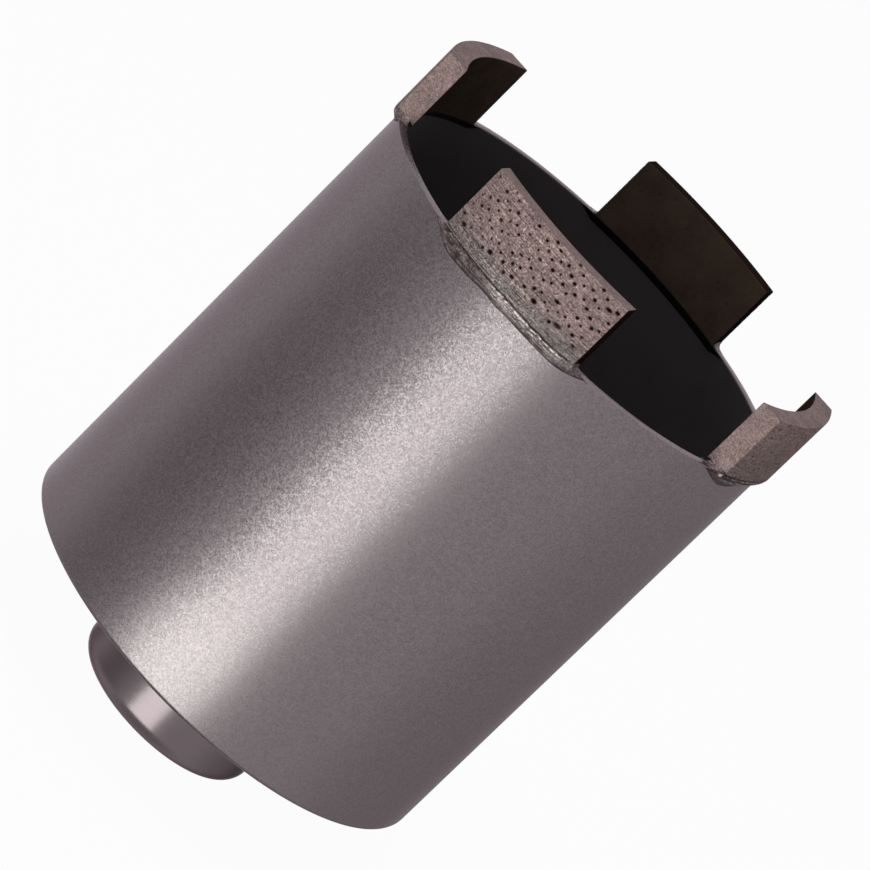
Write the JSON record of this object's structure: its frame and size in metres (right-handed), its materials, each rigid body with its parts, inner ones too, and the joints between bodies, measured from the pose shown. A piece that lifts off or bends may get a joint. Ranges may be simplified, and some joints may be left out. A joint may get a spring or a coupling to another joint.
{
  "type": "diamond core bit",
  "caption": "Cup-shaped dry core bit: thin painted steel barrel, diamond segments brazed on its open rim, and a threaded drive hub welded to its closed back.",
  "frame": {"origin": "centre of the hub's end face, which the bit stands on; the lowest point of the part, on its axis", "axes": "+Z is the axis of the bit, from the hub to the cutting end; -Y passes through the middle of segment_1, +X through the middle of segment_2"},
  "size_m": [0.068, 0.068, 0.093],
  "materials": {
    "paint": "satin metallic",
    "hub_paint": "satin metallic, smooth",
    "sintered_metal": "ground",
    "braze": "ground"
  },
  "bodies": {
    "root": {"barrel_tube": "paint", "end_plate": "paint", "plate_weld": "paint", "threaded_hub": "hub_paint", "hub_weld": "hub_paint", "segment_1": "sintered_metal", "segment_2": "sintered_metal", "segment_3": "sintered_metal", "segment_4": "sintered_metal", "braze_fillet_1": "braze", "braze_fillet_2": "braze", "braze_fillet_3": "braze", "braze_fillet_4": "braze"}
  },
  "joints": []
}
